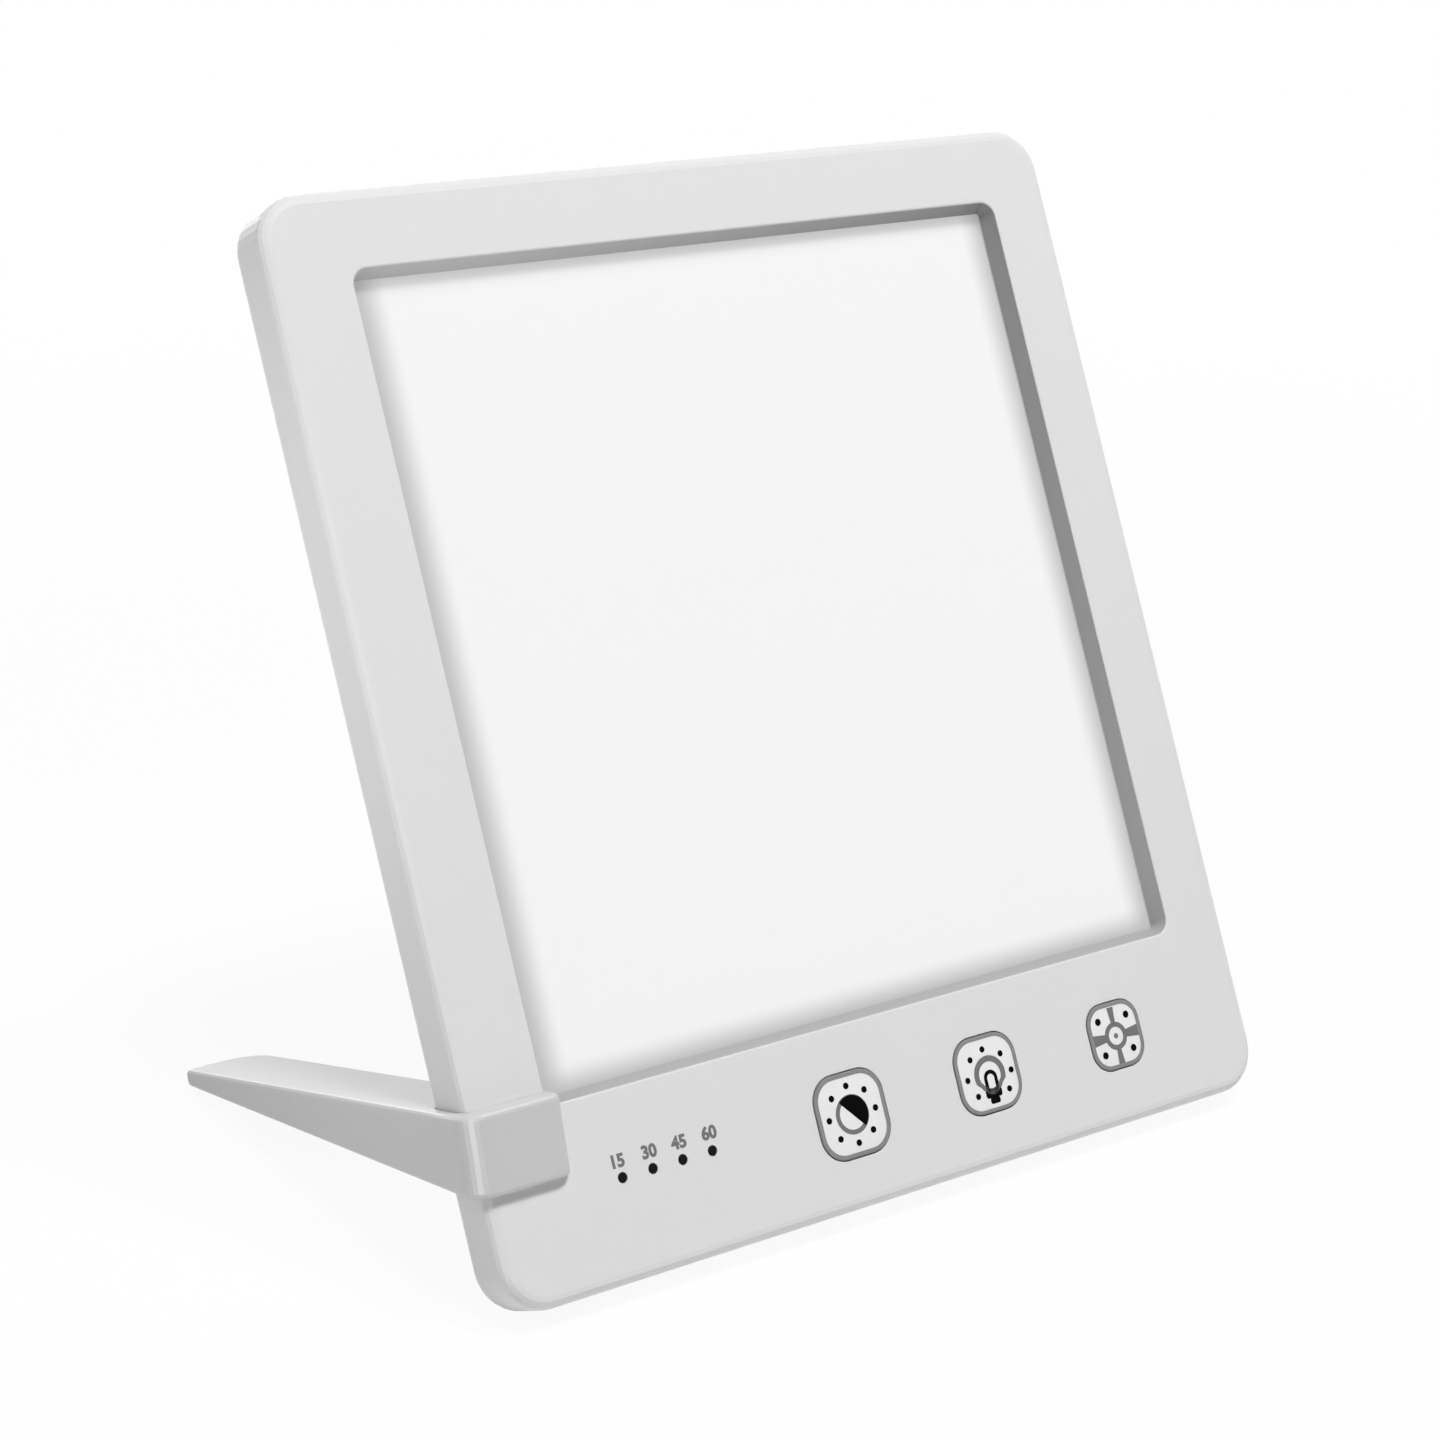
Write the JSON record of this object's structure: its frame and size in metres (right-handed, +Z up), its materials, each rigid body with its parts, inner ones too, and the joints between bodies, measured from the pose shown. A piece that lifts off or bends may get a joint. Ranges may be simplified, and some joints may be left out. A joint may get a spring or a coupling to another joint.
{
  "type": "light therapy lamp",
  "caption": "Slim flat-panel light therapy lamp that leans back on a clip-on leg, with a recessed diffuser window, square push keys and a row of indicator lights.",
  "frame": {"origin": "centre of the bounding box on the plane that the lamp's feet stand on", "axes": "+Z up, -Y is the way the lit window faces (leaning back towards +Y), +X to the right of someone who looks at the window; the stand is at the -X edge"},
  "size_m": [0.203, 0.1336, 0.2055],
  "materials": {
    "housing": "satin",
    "stand": "satin",
    "key": "satin",
    "diffuser": "opal, lightly glossed",
    "light_guide": "clear acrylic",
    "indicator": "smoked",
    "reflector": "white film",
    "gasket": "closed-cell foam",
    "plate": "mill",
    "strip": "white circuit board",
    "board": "circuit board",
    "switch": "satin",
    "steel": "zinc plated",
    "contact": "bright",
    "rubber": "matt",
    "lead": "PVC insulation"
  },
  "bodies": {
    "panel": {"front_frame": "housing", "rear_cover": "housing", "diffuser_panel": "diffuser", "light_guide_plate": "light_guide", "indicator_lens_1": "indicator", "indicator_lens_2": "indicator", "indicator_lens_3": "indicator", "indicator_lens_4": "indicator", "reflector_sheet": "reflector", "diffuser_gasket": "gasket", "backing_plate": "plate", "led_strip_left": "strip", "led_strip_right": "strip", "control_board": "board", "tact_switch_brightness": "switch", "tact_switch_light": "switch", "tact_switch_timer": "switch", "dc_socket": "switch", "cover_screw_1": "steel", "cover_screw_2": "steel", "cover_screw_3": "steel", "cover_screw_4": "steel", "cover_screw_5": "steel", "cover_screw_6": "steel", "board_screw_1": "steel", "board_screw_2": "steel", "board_screw_3": "steel", "dc_socket_pin": "contact", "foot_left": "rubber", "foot_right": "rubber", "strip_lead_left": "lead", "strip_lead_right": "lead"},
    "stand": {"stand_clip": "stand", "grip_pad_front": "rubber", "grip_pad_rear": "rubber", "stand_foot": "rubber"},
    "brightness_key": {"key_brightness": "key", "switch_plunger_brightness": "switch"},
    "light_key": {"key_light": "key", "switch_plunger_light": "switch"},
    "timer_key": {"key_timer": "key", "switch_plunger_timer": "switch"}
  },
  "joints": [
    {"name": "stand_off", "type": "slide", "parent": "panel", "child": "stand", "axis": [-1, 0, 0], "range_m": [0, 0.026]},
    {"name": "brightness_press", "type": "slide", "parent": "panel", "child": "brightness_key", "axis": [0, 0.8934, -0.4492], "range_m": [0, 0.0006], "stiffness_N_per_m": 2500, "springref_m": -0.0004},
    {"name": "light_press", "type": "slide", "parent": "panel", "child": "light_key", "axis": [0, 0.8934, -0.4492], "range_m": [0, 0.0006], "stiffness_N_per_m": 2500, "springref_m": -0.0004},
    {"name": "timer_press", "type": "slide", "parent": "panel", "child": "timer_key", "axis": [0, 0.8934, -0.4492], "range_m": [0, 0.0006], "stiffness_N_per_m": 2500, "springref_m": -0.0004}
  ]
}
